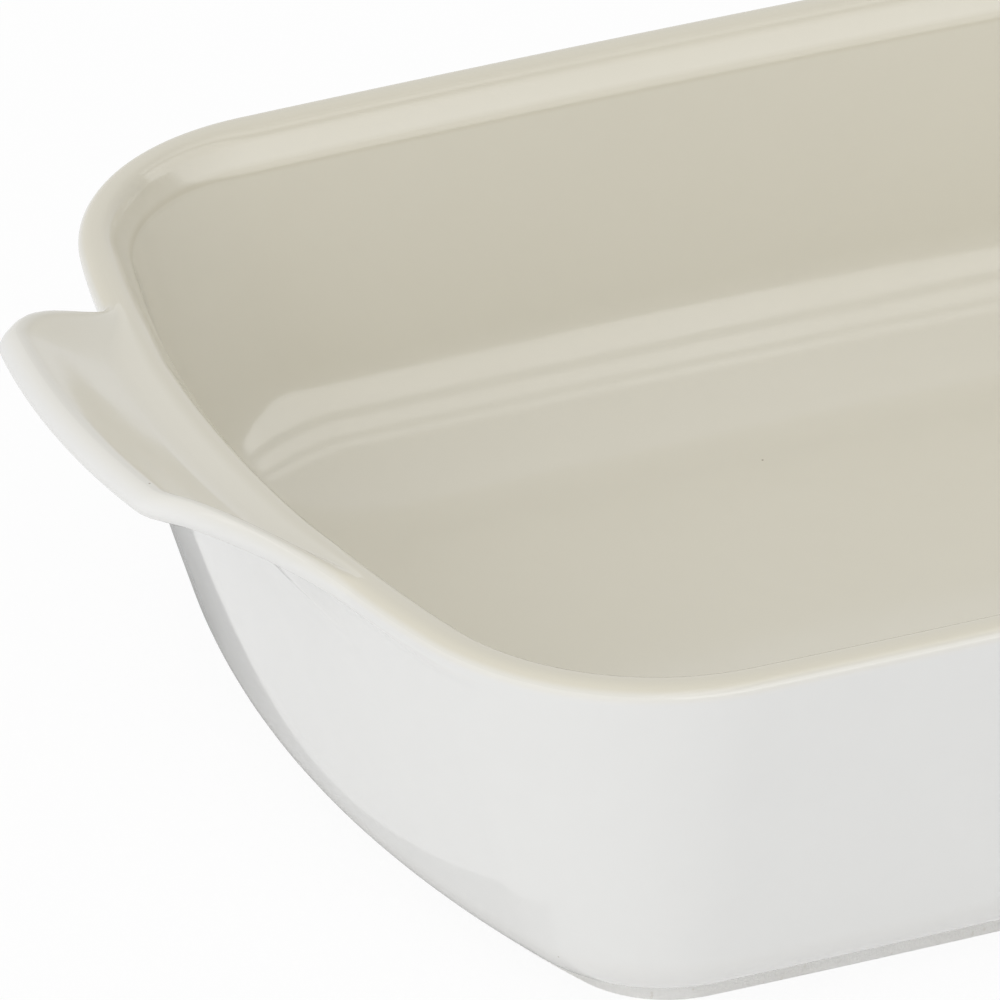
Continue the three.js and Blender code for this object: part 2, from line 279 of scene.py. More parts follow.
class Section:
    """Rows of the dish's section from the floor's edge over the lip to the recess underneath"""

    def __init__(self, dish):
        self.rim = dish.rim
        self.wall = dish.wall
        self.wing = dish.wing
        self.grid = dish.grid
        self.coat = dish.glaze.thickness + dish.glaze.bond
        self.line = dish.glaze.line
        self.lip_top = self.rim.high - self.coat
        self.wall_top = self.lip_top - self.rim.lip_round
        self.bottom_centre = self.wall.bottom_lift + self.wall.bottom_radius
        self.wall_foot = self.bottom_centre - self.wall.bottom_radius * math.sin(self.wall.draft)
        self.floor_top = self.wall.recess_depth + self.wall.floor_thickness

    def wall_inset(self, height):
        """Inset of the outer wall: its lean times the depth, less a parabola over its height as a bulge."""
        depth = self.wall_top - height
        part = depth / (self.wall_top - self.wall_foot)
        return depth * math.tan(self.wall.draft) - self.wall.bulge * 4.0 * part * (1.0 - part)

    def plain(self, inset, height, shrink):
        """Rows that the wing handles don't move."""
        rows = np.zeros((np.size(inset), 8))
        rows[:, INSET] = inset
        rows[:, HEIGHT] = height
        rows[:, SHRINK] = shrink
        return rows

    def winged(self, inset, height, shrink, out, up, under=0.0, ridge=0.0):
        """One row that goes out and up on the wing handles."""
        return np.array([[inset, height, shrink, out, up, 1.0, under, ridge]])

    def inside_knots(self):
        """The round fillet at the floor, the straight inner wall and the bevel under the lip."""
        wall = self.wall
        crease_height = self.lip_top - self.rim.bevel_depth
        crease = self.wall_inset(crease_height) + wall.thickness
        fillet = wall.floor_fillet
        fillet_top = self.floor_top + fillet * (1.0 - math.sin(wall.draft))
        fillet_inset = crease + (crease_height - fillet_top) * math.tan(wall.draft)
        centre = fillet_inset + fillet * math.cos(wall.draft)
        angle = np.pi / 2 + (wall.draft - np.pi / 2) * arc_share(self.grid.arc_steps)
        arc_height = self.floor_top + fillet * (1.0 - np.sin(angle))
        arc = self.plain(centre - fillet * np.cos(angle), arc_height, wall.inner_shrink)
        below = crease_height - CREASE_ROUND * self.rim.bevel_depth
        near = self.plain(crease + (crease_height - below) * math.tan(wall.draft), below, wall.crease_shrink)
        edge = self.plain(crease, crease_height, wall.crease_shrink)
        rim = self.plain(self.rim.lip_width, self.lip_top, 1.0)
        rows = np.concatenate([arc, near, edge, edge + CREASE_ROUND * (rim - edge)])
        shares = np.zeros(len(rows))
        shares[-2] = CREASE_SOFTNESS
        return rows, shares

    def lip_row(self, angle, out, up):
        """A row on the lip's round outer edge, at an angle from its top."""
        inset = self.rim.lip_round * (1.0 - math.sin(angle))
        height = self.lip_top - self.rim.lip_round * (1.0 - math.cos(angle))
        return self.winged(inset, height, 1.0, out, up, ridge=self.wing.ridge_proud)

    def lip_knots(self):
        """The lip's top to the glaze line. On a wing it dips into a hollow, then slopes up to the bead."""
        rim, wing = self.rim, self.wing
        rows = np.concatenate([
            self.winged(rim.lip_width, self.lip_top, 1.0, -rim.lip_width, 0.0),
            self.lip_row(0.0, HOLLOW_OUT * wing.reach, HOLLOW_UP * wing.rise),
            self.lip_row(LIP_STEP, SLOPE_OUT * wing.reach, SLOPE_UP * wing.rise),
            self.lip_row(2.0 * LIP_STEP, wing.reach - wing.shelf, SHELF_UP * wing.rise),
        ])
        return rows, np.array(LIP_SOFTNESS)

    def bead_knots(self):
        """The wing's bead from the glaze line to its lower edge. Beside the wing it is a low ridge."""
        wing = self.wing
        rows = [
            self.lip_row(4.0 * LIP_STEP, wing.reach - wing.bead_width, wing.rise),
            self.lip_row(5.0 * LIP_STEP, wing.reach, wing.rise - wing.bead_drop),
        ]
        depths = np.array([BEAD_FACE * wing.thickness, wing.thickness])
        outs = wing.reach - np.array([wing.bead_lean, wing.bead_undercut])
        for depth, out in zip(depths, outs):
            height = self.lip_top - depth
            inset = self.wall_inset(height)
            up = wing.rise - depth
            rows.append(self.winged(inset, height, self.wall.outer_shrink, out, up, ridge=wing.ridge_proud))
        return np.concatenate(rows), np.full(len(rows), WING_SOFTNESS)

    def underside_knots(self):
        """The wing's underside, a hollow curve from the bead's lower edge back to the wall."""
        wing = self.wing
        foot = wing.rise - wing.thickness
        rows = []
        for out, drop, depth in UNDERSIDE:
            height = self.lip_top - wing.thickness - depth
            inset = self.wall_inset(height)
            reach = out * wing.reach
            rows.append(self.winged(inset, height, self.wall.outer_shrink, reach, foot - drop, under=1.0))
        root = self.lip_top - wing.root
        rows.append(self.plain(self.wall_inset(root), root, self.wall.outer_shrink))
        return np.concatenate(rows), np.full(len(rows), WING_SOFTNESS)

    def outside_knots(self):
        """The outer wall below the wing's root and the round bottom edge down to the foot."""
        wall = self.wall
        heights = np.linspace(self.lip_top - self.wing.root, self.wall_foot, self.grid.wall_steps + 1)[1:-1]
        rows = self.plain(self.wall_inset(heights), heights, wall.outer_shrink)
        foot_angle = math.asin((self.bottom_centre - wall.foot_height) / wall.bottom_radius)
        self.foot_centre = self.wall_inset(self.wall_foot) + wall.bottom_radius * math.cos(wall.draft)
        self.foot_inset = self.foot_centre - wall.bottom_radius * math.cos(foot_angle)
        angle = wall.draft + (foot_angle - wall.draft) * arc_share(self.grid.arc_steps)
        arc = self.plain(
            self.foot_centre - wall.bottom_radius * np.cos(angle),
            self.bottom_centre - wall.bottom_radius * np.sin(angle),
            wall.outer_shrink,
        )
        rows = np.concatenate([rows, arc])
        return rows, np.zeros(len(rows))

    def foot_rows(self):
        """The bare foot ring: its outer face, chamfers, standing face and inner face."""
        wall = self.wall
        inner = self.foot_inset + wall.foot_width
        outer = self.foot_inset
        chamfer = wall.foot_chamfer
        outside = self.plain([outer, outer + chamfer], [chamfer, 0.0], wall.outer_shrink)
        inside = self.plain([inner - chamfer, inner], [0.0, chamfer], wall.inner_shrink)
        return np.concatenate([outside, inside])

    def recess_rows(self):
        """The recess inside the foot ring, from the glaze line round to its flat top."""
        edge = self.foot_inset + self.wall.foot_width
        depth = self.wall.recess_depth
        turn = arc_share(self.grid.recess_steps) * np.pi / 2
        inset = edge + self.line + (depth - self.line) * (1.0 - np.cos(turn))
        height = depth / 2.0 + depth / 2.0 * np.sin(turn)
        return self.plain(inset, height, self.wall.inner_shrink)

    def upper_rows(self):
        """All the rows from the floor's edge to the foot's top, and the row where the two glazes meet."""
        parts = [
            self.inside_knots(),
            self.lip_knots(),
            self.bead_knots(),
            self.underside_knots(),
            self.outside_knots(),
        ]
        knots = np.concatenate([rows for rows, _ in parts])
        shares = np.concatenate([soft for _, soft in parts])
        rows = soften(knots, shares, self.grid.soft_points)
        past_line = rows[:, OUT] >= self.wing.reach - self.wing.cream_edge
        return rows, int(np.flatnonzero(past_line)[0])


def quarter_outline(section, inset, shrink):
    """A quarter of the outline at each inset: an end arc, a corner arc that touches both its neighbours, and
    a side arc. The end and side arcs pass through the middles of the end and side with the given bows."""
    rim, grid = section.rim, section.grid
    half_long = rim.long / 2.0 - section.coat - inset[:, None]
    half_wide = rim.wide / 2.0 - section.coat - inset[:, None]
    corner = rim.corner_radius - (shrink * inset)[:, None]
    end_radius = (half_wide**2 + rim.end_bow**2) / (2.0 * rim.end_bow)
    side_radius = (half_long**2 + rim.side_bow**2) / (2.0 * rim.side_bow)
    end_x = half_long - end_radius
    side_y = half_wide - side_radius
    apart = np.hypot(end_x, side_y)
    along = ((end_radius - corner) ** 2 - (side_radius - corner) ** 2 + apart**2) / (2.0 * apart)
    across = np.sqrt((end_radius - corner) ** 2 - along**2)
    unit_x, unit_y = -end_x / apart, side_y / apart
    corner_x = end_x + along * unit_x - across * unit_y
    corner_y = along * unit_y + across * unit_x
    end_angle = np.arctan2(corner_y, corner_x - end_x)
    side_angle = np.arctan2(corner_y - side_y, corner_x)
    end = end_angle * arc_share(grid.end_steps)[:-1]
    turn = end_angle + (side_angle - end_angle) * arc_share(grid.corner_steps)[:-1]
    side = side_angle + (np.pi / 2 - side_angle) * arc_share(grid.side_steps)[:-1]
    x = [end_x + end_radius * np.cos(end), corner_x + corner * np.cos(turn), side_radius * np.cos(side)]
    y = [end_radius * np.sin(end), corner_y + corner * np.sin(turn), side_y + side_radius * np.sin(side)]
    middle = np.zeros(half_wide.shape)
    return np.concatenate([*x, middle], axis=1), np.concatenate([*y, half_wide], axis=1)


def whole_outline(section, inset, shrink):
    """The quarter outline and its three mirror images, anticlockwise from the middle of one end."""
    x, y = quarter_outline(section, inset, shrink)
    half_x = np.concatenate([x, -x[:, -2::-1]], axis=1)
    half_y = np.concatenate([y, y[:, -2::-1]], axis=1)
    return (
        np.concatenate([half_x, half_x[:, -2:0:-1]], axis=1),
        np.concatenate([half_y, -half_y[:, -2:0:-1]], axis=1),
    )


def dish_surface(section, rows):
    """Points of a grid, one ring for each row: the outline at the row's inset and height, moved out along X
    and up to the wing's own section by shares that fade over its shoulders, away from the end's middle."""
    wing = section.wing
    x, y = whole_outline(section, rows[:, INSET], rows[:, SHRINK])
    under = rows[:, UNDER, None]
    winged = rows[:, WING, None]
    crowned = fading(y, wing.half_width, wing.shoulder) * (1.0 - wing.crown * (y / wing.half_width) ** 2)
    below = fading(y, wing.under_half_width, wing.under_shoulder)
    out = winged * (crowned * (1.0 - under) + below * under)
    up = winged * (fading(y, wing.half_width, wing.rise_shoulder) * (1.0 - under) + below * under)
    ridge = rows[:, RIDGE, None] * (1.0 - out) * fading(y, wing.ridge_to, wing.ridge_to - wing.ridge_from)
    moved = x + np.sign(x) * (out * (rows[:, OUT] + rows[:, INSET])[:, None] + ridge)
    height = rows[:, HEIGHT, None] + up * (section.lip_top + rows[:, UP] - rows[:, HEIGHT])[:, None]
    return np.stack([moved, y, height], axis=-1)


def surface_normals(points):
    """Unit normals of a grid of rings, the cross product of its steps across and round."""
    across = np.gradient(points, axis=0)
    around = np.roll(points, -1, axis=1) - np.roll(points, 1, axis=1)
    normals = np.cross(across, around)
    return normals / np.linalg.norm(normals, axis=-1, keepdims=True)


# Bend of a clear edge or hollow, in radians for each metre
CLEAR_BEND = 90.0

# Least square of a step, which keeps two points in one place from dividing by zero
LEAST_SQUARE = 1e-12


def glaze_pooling(points, normals):
    """A half on a flat stretch, less over convex edges where glaze runs thin, more in hollows where it pools:
    the bend of the surface along the section, squeezed between zero and one. Low values give the cream its
    thin colour, partly painted shade."""
    step = np.gradient(points, axis=0)
    square = np.maximum((step * step).sum(axis=-1), LEAST_SQUARE)
    bend = (np.gradient(normals, axis=0) * step).sum(axis=-1) / square
    pooled = 0.5 - 0.5 * np.tanh(bend / CLEAR_BEND)
    padded = np.concatenate([pooled[:1], pooled, pooled[-1:]])
    return (padded[:-2] + 2.0 * padded[1:-1] + padded[2:]) / 4.0


def disc_rings(ring, shares):
    """Rings inside a flat ring, each the ring drawn towards its middle by a share."""
    middle = np.array([0.0, 0.0, ring[0, 2]])
    return middle + np.asarray(shares)[:, None, None] * (ring - middle)


# Meshes


def grid_quads(start, rows, columns, flipped):
    """Corner indices of the quads of a closed grid of rings whose vertices start at an index."""
    row = np.arange(rows - 1)[:, None] * columns
    column = np.arange(columns)[None, :]
    after = (column + 1) % columns
    corners = [row + column, row + columns + column, row + columns + after, row + after]
    quads = start + np.stack(np.broadcast_arrays(*corners), axis=-1).reshape(-1, 4)
    return quads[:, ::-1] if flipped else quads


def band_quads(first, second, columns):
    """Quads between two rings, given where each one's vertices start."""
    column = np.arange(columns)
    after = (column + 1) % columns
    return np.stack([first + column, second + column, second + after, first + after], axis=-1)


def pole_triangles(pole, ring, columns, flipped):
    """Triangles from a pole to the ring round it."""
    column = np.arange(columns)
    after = (column + 1) % columns
    triangles = np.stack([np.full(columns, pole), ring + column, ring + after], axis=-1)
    return triangles[:, ::-1] if flipped else triangles


def make_piece(name, vertices, quads, triangles, sharp, attributes, normals=None):
    """A mesh object at the origin from arrays of vertices, quads and triangles. The sharp quads come last
    among the quads and are shaded flat, each attribute is one value for each vertex, and the surface's own
    normals can be given for each vertex too."""
    mesh = bpy.data.meshes.new(name)
    corners = np.concatenate([quads.ravel(), triangles.ravel()]).astype(np.int32)
    starts = np.concatenate([
        np.arange(len(quads)) * 4, len(quads) * 4 + np.arange(len(triangles)) * 3
    ]).astype(np.int32)
    mesh.vertices.add(len(vertices))
    mesh.vertices.foreach_set("co", vertices.astype(np.float32).ravel())
    mesh.loops.add(len(corners))
    mesh.loops.foreach_set("vertex_index", corners)
    mesh.polygons.add(len(starts))
    mesh.polygons.foreach_set("loop_start", starts)
    flat = np.zeros(len(starts), dtype=bool)
    flat[len(quads) - sharp:len(quads)] = True
    mesh.polygons.foreach_set("use_smooth", ~flat)
    for key, values in attributes.items():
        layer = mesh.attributes.new(key, "FLOAT", "POINT")
        layer.data.foreach_set("value", values.astype(np.float32))
    mesh.update(calc_edges=True)
    if mesh.validate(verbose=False):
        raise RuntimeError(f"{name}: its mesh had faults")
    if normals is not None:
        shading = normals[corners]
        bands = slice((len(quads) - sharp) * 4, len(quads) * 4)
        faces = vertices[quads[len(quads) - sharp:]]
        facing = np.cross(faces[:, 2] - faces[:, 0], faces[:, 3] - faces[:, 1])
        shading[bands] = np.repeat(facing / np.linalg.norm(facing, axis=1, keepdims=True), 4, axis=0)
        mesh.normals_split_custom_set(shading)
    piece = bpy.data.objects.new(name, mesh)
    bpy.context.scene.collection.objects.link(piece)
    return piece


def make_coat(name, points, normals, glaze, pole_end, attributes):
    """A closed glaze coat over a grid of points: an outer and an inner skin, moved off the points along their
    normals. An end with a pole is closed over the flat middle, the other ends by a band between the skins."""
    rows, columns = points.shape[:2]
    count = rows * columns
    outer = points + normals * (glaze.bond + glaze.thickness)
    inner = points + normals * glaze.bond
    vertices = [outer.reshape(-1, 3), inner.reshape(-1, 3)]
    shading = [normals.reshape(-1, 3), -normals.reshape(-1, 3)]
    quads = [grid_quads(0, rows, columns, False), grid_quads(count, rows, columns, True)]
    triangles = np.zeros((0, 3), dtype=int)
    bands = []
    last = (rows - 1) * columns
    if pole_end != "first":
        bands.append(band_quads(count, 0, columns))
    if pole_end != "last":
        bands.append(band_quads(last, count + last, columns))
    if pole_end:
        row = 0 if pole_end == "first" else rows - 1
        vertices.append(np.array([[0.0, 0.0, outer[row, 0, 2]], [0.0, 0.0, inner[row, 0, 2]]]))
        shading.append(np.stack([normals[row, 0], -normals[row, 0]]))
        ring = 0 if pole_end == "first" else last
        down = pole_end == "last"
        outside = pole_triangles(2 * count, ring, columns, down)
        inside = pole_triangles(2 * count + 1, count + ring, columns, not down)
        triangles = np.concatenate([outside, inside])
    values = {}
    for key, grid in attributes.items():
        pole = grid[0 if pole_end == "first" else -1, :1]
        values[key] = np.concatenate([grid.ravel(), grid.ravel(), np.repeat(pole, 2 if pole_end else 0)])
    sharp = sum(len(band) for band in bands)
    vertices = np.concatenate(vertices)
    quads = np.concatenate(quads + bands)
    return make_piece(name, vertices, quads, triangles, sharp, values, np.concatenate(shading))


def make_solid(name, rings):
    """A closed solid from a grid of rings with a pole in the middle of the first and of the last."""
    rows, columns = rings.shape[:2]
    count = rows * columns
    poles = np.array([[0.0, 0.0, rings[0, 0, 2]], [0.0, 0.0, rings[-1, 0, 2]]])
    triangles = np.concatenate([
        pole_triangles(count, 0, columns, False), pole_triangles(count + 1, count - columns, columns, True)
    ])
    vertices = np.concatenate([rings.reshape(-1, 3), poles])
    return make_piece(name, vertices, grid_quads(0, rows, columns, False), triangles, 0, {})


# Rings inside a flat middle, as shares of the ring round it
FLOOR_SHARES = (0.04, 0.28, 0.52, 0.76)

# Share of the meeting's width along the plain lip, away from the wing handles
PLAIN_MEETING = 0.35


def upper_surface(section):
    """Points, normals and pooling of the surface from the floor's middle over the lip to the foot."""
    rows, meeting = section.upper_rows()
    points = dish_surface(section, rows)
    normals = surface_normals(points)
    normals[0] = (0.0, 0.0, 1.0)
    pooling = glaze_pooling(points, normals)
    floor = disc_rings(points[0], FLOOR_SHARES)
    points = np.concatenate([floor, points])
    normals = np.concatenate([np.broadcast_to(normals[0], floor.shape), normals])
    pooling = np.concatenate([np.broadcast_to(pooling[:1], floor.shape[:2]), pooling])
    return points, normals, pooling, meeting + len(FLOOR_SHARES)


def glaze_meeting(points, row, glaze):
    """One at the row where the glazes meet, falling to zero with the distance from it along the section. The
    fall's width is a share of the meeting's width, and grows to all of it as the row rises on the wings."""
    steps = np.linalg.norm(np.diff(points, axis=0), axis=-1)
    travelled = np.concatenate([np.zeros((1, points.shape[1])), np.cumsum(steps, axis=0)])
    height = points[row, :, 2]
    raised = (height - height.min()) / (height.max() - height.min())
    width = glaze.meeting * (PLAIN_MEETING + (1.0 - PLAIN_MEETING) * raised)
    return np.clip(1.0 - np.abs(travelled - travelled[row]) / width, 0.0, 1.0)


# Materials


# Places of the nodes in the editor
NODE_COLUMNS = 6
NODE_STEP = (220, -260)


class Nodes:
    """Adds nodes to a tree in columns and links them"""

    def __init__(self, tree):
        self.tree = tree
        self.placed = 0

    def add(self, kind, settings=None, **inputs):
        node = self.tree.nodes.new(kind)
        down, along = divmod(self.placed, NODE_COLUMNS)
        node.location = (along * NODE_STEP[0], down * NODE_STEP[1])
        self.placed += 1
        for key, value in (settings or {}).items():
            setattr(node, key, value)
        for key, value in inputs.items():
            self.put(node, key.replace("_", " "), value)
        return node

    def put(self, node, key, value):
        """Feeds the input of a node that has a name and is in use."""
        self.feed(next(s for s in node.inputs if s.name == key and s.enabled), value)

    def feed(self, socket, value):
        """Links an input to another node's output, or sets it to a value."""
        if isinstance(value, bpy.types.NodeSocket):
            self.tree.links.new(value, socket)
        else:
            socket.default_value = value

    def fed(self, node, values):
        """The first output of a node whose inputs take the values in order."""
        for socket, value in zip(node.inputs, values):
            self.feed(socket, value)
        return node.outputs[0]

    def calculated(self, operation, *values):
        """The result of a math node."""
        return self.fed(self.add("ShaderNodeMath", {"operation": operation}), values)

    def mixed(self, part, first, second):
        """Two shaders mixed by a share."""
        return self.fed(self.add("ShaderNodeMixShader"), (part, first, second))


def fresh_nodes(owner):
    """The emptied node tree of a material or a world."""
    owner.use_nodes = True
    owner.node_tree.nodes.clear()
    return Nodes(owner.node_tree)


def colour_of(value):
    return (value[0], value[1], value[2], 1.0)


def new_group(name, values, result):
    """A shader node group that takes a vector and named values and gives one value."""
    tree = bpy.data.node_groups.new(name, "ShaderNodeTree")
    tree.interface.new_socket("Vector", in_out="INPUT", socket_type="NodeSocketVector")
    for value in values:
        tree.interface.new_socket(value, in_out="INPUT", socket_type="NodeSocketFloat")
    tree.interface.new_socket(result, in_out="OUTPUT", socket_type="NodeSocketFloat")
    nodes = Nodes(tree)
    given = nodes.add("NodeGroupInput").outputs
    return tree, nodes, given, nodes.add("NodeGroupOutput").inputs[result]


def mapped(nodes, value, low, high, to_low, to_high):
    """A value moved smoothly from one range to another."""
    node = nodes.add("ShaderNodeMapRange", {"interpolation_type": "SMOOTHSTEP"}, Value=value)
    for key, bound in zip(("From Min", "From Max", "To Min", "To Max"), (low, high, to_low, to_high)):
        nodes.put(node, key, bound)
    return node.outputs["Result"]


def noise(nodes, place, scale, detail):
    return nodes.add("ShaderNodeTexNoise", Vector=place, Scale=scale, Detail=detail).outputs["Fac"]


# Clouding: the finer noise's scale and share, both noises' detail, and the range that counts
FINE_CLOUDS = 7.0
FINE_SHARE = 0.35
BROAD_DETAIL = 3.0
FINE_DETAIL = 2.0
CLOUD_RANGE = (0.4, 0.95)


def clouding_group():
    """Slow drift in the depth of a glaze, as it settles in the kiln: broad noise and some finer."""
    tree, nodes, given, result = new_group("Glaze clouding", ("Scale",), "Cloud")
    broad = noise(nodes, given["Vector"], given["Scale"], BROAD_DETAIL)
    finer = nodes.calculated("MULTIPLY", given["Scale"], FINE_CLOUDS)
    fine = noise(nodes, given["Vector"], finer, FINE_DETAIL)
    drift = nodes.calculated("MULTIPLY_ADD", fine, FINE_SHARE, broad)
    nodes.feed(result, mapped(nodes, drift, *CLOUD_RANGE, 0.0, 1.0))
    return tree


# Softness of a speck's edge, in cells
SPECK_EDGE = 0.03


def speck_group():
    """Small fired specks: the middles of scattered cells, of which only some are kept."""
    tree, nodes, given, result = new_group("Fired specks", ("Scale", "Size", "Share"), "Mask")
    cells = nodes.add("ShaderNodeTexVoronoi", Vector=given["Vector"], Scale=given["Scale"]).outputs
    inside = nodes.calculated("SUBTRACT", given["Size"], cells["Distance"])
    dot = mapped(nodes, inside, 0.0, SPECK_EDGE, 0.0, 1.0)
    pick = nodes.add("ShaderNodeSeparateColor", Color=cells["Color"]).outputs["Red"]
    kept = nodes.calculated("LESS_THAN", pick, given["Share"])
    nodes.feed(result, nodes.calculated("MULTIPLY", dot, kept))
    return tree


# Ripple: the orange peel's share of the height, and both noises' detail
PEEL_SHARE = 0.06
RIPPLE_DETAIL = 1.0


def ripple_group():
    """Height of a glaze that has run: a slow wave with a fine orange peel on it."""
    tree, nodes, given, result = new_group("Glaze ripple", ("Wave", "Peel"), "Height")
    wave = noise(nodes, given["Vector"], given["Wave"], RIPPLE_DETAIL)
    peel = noise(nodes, given["Vector"], given["Peel"], RIPPLE_DETAIL)
    nodes.feed(result, nodes.calculated("MULTIPLY_ADD", peel, PEEL_SHARE, wave))
    return tree


def new_material(name):
    """A material with its shader, and the coordinates that its patterns read."""
    material = bpy.data.materials.new(name)
    nodes = fresh_nodes(material)
    shader = nodes.add("ShaderNodeBsdfPrincipled")
    nodes.add("ShaderNodeOutputMaterial", Surface=shader.outputs["BSDF"])
    return material, nodes, shader, nodes.add("ShaderNodeTexCoord").outputs["Object"]


def group_value(nodes, name, maker, **inputs):
    """The value of a node group, which is made the first time that it is used."""
    group = bpy.data.node_groups.get(name) or maker()
    return nodes.add("ShaderNodeGroup", {"node_tree": group}, **inputs).outputs[0]


def blended(nodes, share_of, first, second):
    """Two colours mixed by a share."""
    node = nodes.add("ShaderNodeMix", {"data_type": "RGBA"}, Factor=share_of, A=first, B=second)
    return next(s for s in node.outputs if s.enabled)


def attribute(nodes, key):
    return nodes.add("ShaderNodeAttribute", {"attribute_name": key}).outputs["Fac"]


def bumped(nodes, height, distance):
    return nodes.add("ShaderNodeBump", Height=height, Strength=1.0, Distance=distance).outputs["Normal"]


# Glaze: pooling that deepens and that thins its colour, the thinned cream being partly painted shade, and
# shares of clouds, pools and the other glaze in it
POOLED = (0.5, 0.9)
THINNED_AND_SHADED = (0.15, 0.45)
CLOUD_DEPTH = 0.5
POOL_DEPTH = 0.5
MEETING_MIX = 0.5

# Glaze: its patterns for each metre, the ripple's height, its roughest spot against its smoothest, its index
GLAZE_CLOUDS = {"Scale": 22.0}
GLAZE_SPECKS = {"Scale": 210.0, "Size": 0.06, "Share": 0.012}
GLAZE_RIPPLE = {"Wave": 70.0, "Peel": 650.0}
RIPPLE_HEIGHT = 0.00004
ROUGHEST = 1.5
GLAZE_INDEX = 1.52


def glaze_material(name, glaze, colours, roughness):
    """A glossy glaze. Its colour clouds slowly, deepens where it pools and changes where it runs thin; on the
    cream that change is partly painted shade over the convex edges. It runs into the other glaze where they
    meet and has a few fired specks. Its gloss and surface vary a bit."""
    plain, deep, thin, other = (colour_of(value) for value in colours)
    material, nodes, shader, place = new_material(name)
    pooling = attribute(nodes, "pooling")
    cloud = group_value(nodes, "Glaze clouding", clouding_group, Vector=place, **GLAZE_CLOUDS)
    pooled = mapped(nodes, pooling, *POOLED, 0.0, POOL_DEPTH)
    depth = nodes.calculated("MULTIPLY_ADD", cloud, CLOUD_DEPTH, pooled)
    coat = blended(nodes, depth, plain, deep)
    # Over convex edges the thin colour takes over, and on the cream it is partly painted shade
    coat = blended(nodes, mapped(nodes, pooling, *THINNED_AND_SHADED, 1.0, 0.0), coat, thin)
    run = mapped(nodes, attribute(nodes, "meeting"), 0.0, 1.0, 0.0, MEETING_MIX)
    coat = blended(nodes, run, coat, other)
    specks = group_value(nodes, "Fired specks", speck_group, Vector=place, **GLAZE_SPECKS)
    nodes.put(shader, "Base Color", blended(nodes, specks, coat, colour_of(glaze.speck)))
    nodes.put(shader, "Roughness", mapped(nodes, cloud, 0.0, 1.0, roughness, ROUGHEST * roughness))
    nodes.put(shader, "IOR", GLAZE_INDEX)
    ripple = group_value(nodes, "Glaze ripple", ripple_group, Vector=place, **GLAZE_RIPPLE)
    nodes.put(shader, "Normal", bumped(nodes, ripple, RIPPLE_HEIGHT))
    return material


# Bare clay: its patterns for each metre, how dark clouds and grains make it, its grain and its roughness
CLAY_CLOUDS = {"Scale": 40.0}
CLAY_SPECKS = {"Scale": 900.0, "Size": 0.3, "Share": 0.12}
CLAY_CLOUD_MIX = 0.25
CLAY_SPECK_MIX = 0.6
CLAY_GRAIN = 1400.0
CLAY_GRAIN_DETAIL = 4.0
CLAY_GRAIN_RANGE = (0.3, 0.7)
CLAY_GRAIN_HEIGHT = 0.00012
CLAY_ROUGHNESS = (0.72, 0.9)


def stoneware_material(glaze):
    """Bare fired stoneware: a pale matte ground, pale partly from its own tone and partly from painted light,
    with fine darker grains and a dry grainy surface.
    """
    material, nodes, shader, place = new_material("Bare stoneware")
    dark = colour_of(glaze.clay_dark)
    grain = noise(nodes, place, CLAY_GRAIN, CLAY_GRAIN_DETAIL)
    cloud = group_value(nodes, "Glaze clouding", clouding_group, Vector=place, **CLAY_CLOUDS)
    specks = group_value(nodes, "Fired specks", speck_group, Vector=place, **CLAY_SPECKS)
    # The ground colour carries painted light that brightens the shaded foot ring
    tone = blended(nodes, mapped(nodes, cloud, 0.0, 1.0, 0.0, CLAY_CLOUD_MIX), colour_of(glaze.clay_and_painted_light), dark)
    tone = blended(nodes, mapped(nodes, specks, 0.0, 1.0, 0.0, CLAY_SPECK_MIX), tone, dark)
    nodes.put(shader, "Base Color", tone)
    nodes.put(shader, "Roughness", mapped(nodes, grain, *CLAY_GRAIN_RANGE, *CLAY_ROUGHNESS))
    nodes.put(shader, "Normal", bumped(nodes, grain, CLAY_GRAIN_HEIGHT))
    return material


# Operators


def dress(piece, node, material):
    """Gives a piece its material and lets it stand for a node of the frame."""
    piece.data.materials.append(material)
    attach(piece, "root")
    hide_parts(node)


class DISH_OT_stoneware(Operator):
    """Makes the stoneware body, bare only at the foot ring"""

    bl_idname = "baking_dish.stoneware"
    bl_label = "Stoneware body"

    def execute(self, context):
        dish = context.scene.baking_dish
        section = Section(dish)
        upper = upper_surface(section)[0]
        lower = dish_surface(section, np.concatenate([section.foot_rows(), section.recess_rows()]))
        middle = disc_rings(lower[-1], FLOOR_SHARES[::-1])
        piece = make_solid("dish_stoneware", np.concatenate([upper, lower, middle]))
        dress(piece, "stoneware_body", stoneware_material(dish.glaze))
        return {"FINISHED"}


class DISH_OT_interior_glaze(Operator):
    """Makes the cream glaze from the floor up to the line on the lip"""

    bl_idname = "baking_dish.interior_glaze"
    bl_label = "Cream interior glaze"

    def execute(self, context):
        dish = context.scene.baking_dish
        glaze = dish.glaze
        points, normals, pooling, meeting = upper_surface(Section(dish))
        near = glaze_meeting(points, meeting, glaze)
        kept = slice(0, meeting + 1)
        attributes = {"pooling": pooling[kept], "meeting": near[kept]}
        piece = make_coat("dish_interior_glaze", points[kept], normals[kept], glaze, "first", attributes)
        colours = (glaze.cream, glaze.cream_deep, glaze.cream_thin_and_shade, glaze.white)
        material = glaze_material("Cream glaze", glaze, colours, glaze.cream_roughness)
        dress(piece, "interior_glaze", material)
        return {"FINISHED"}


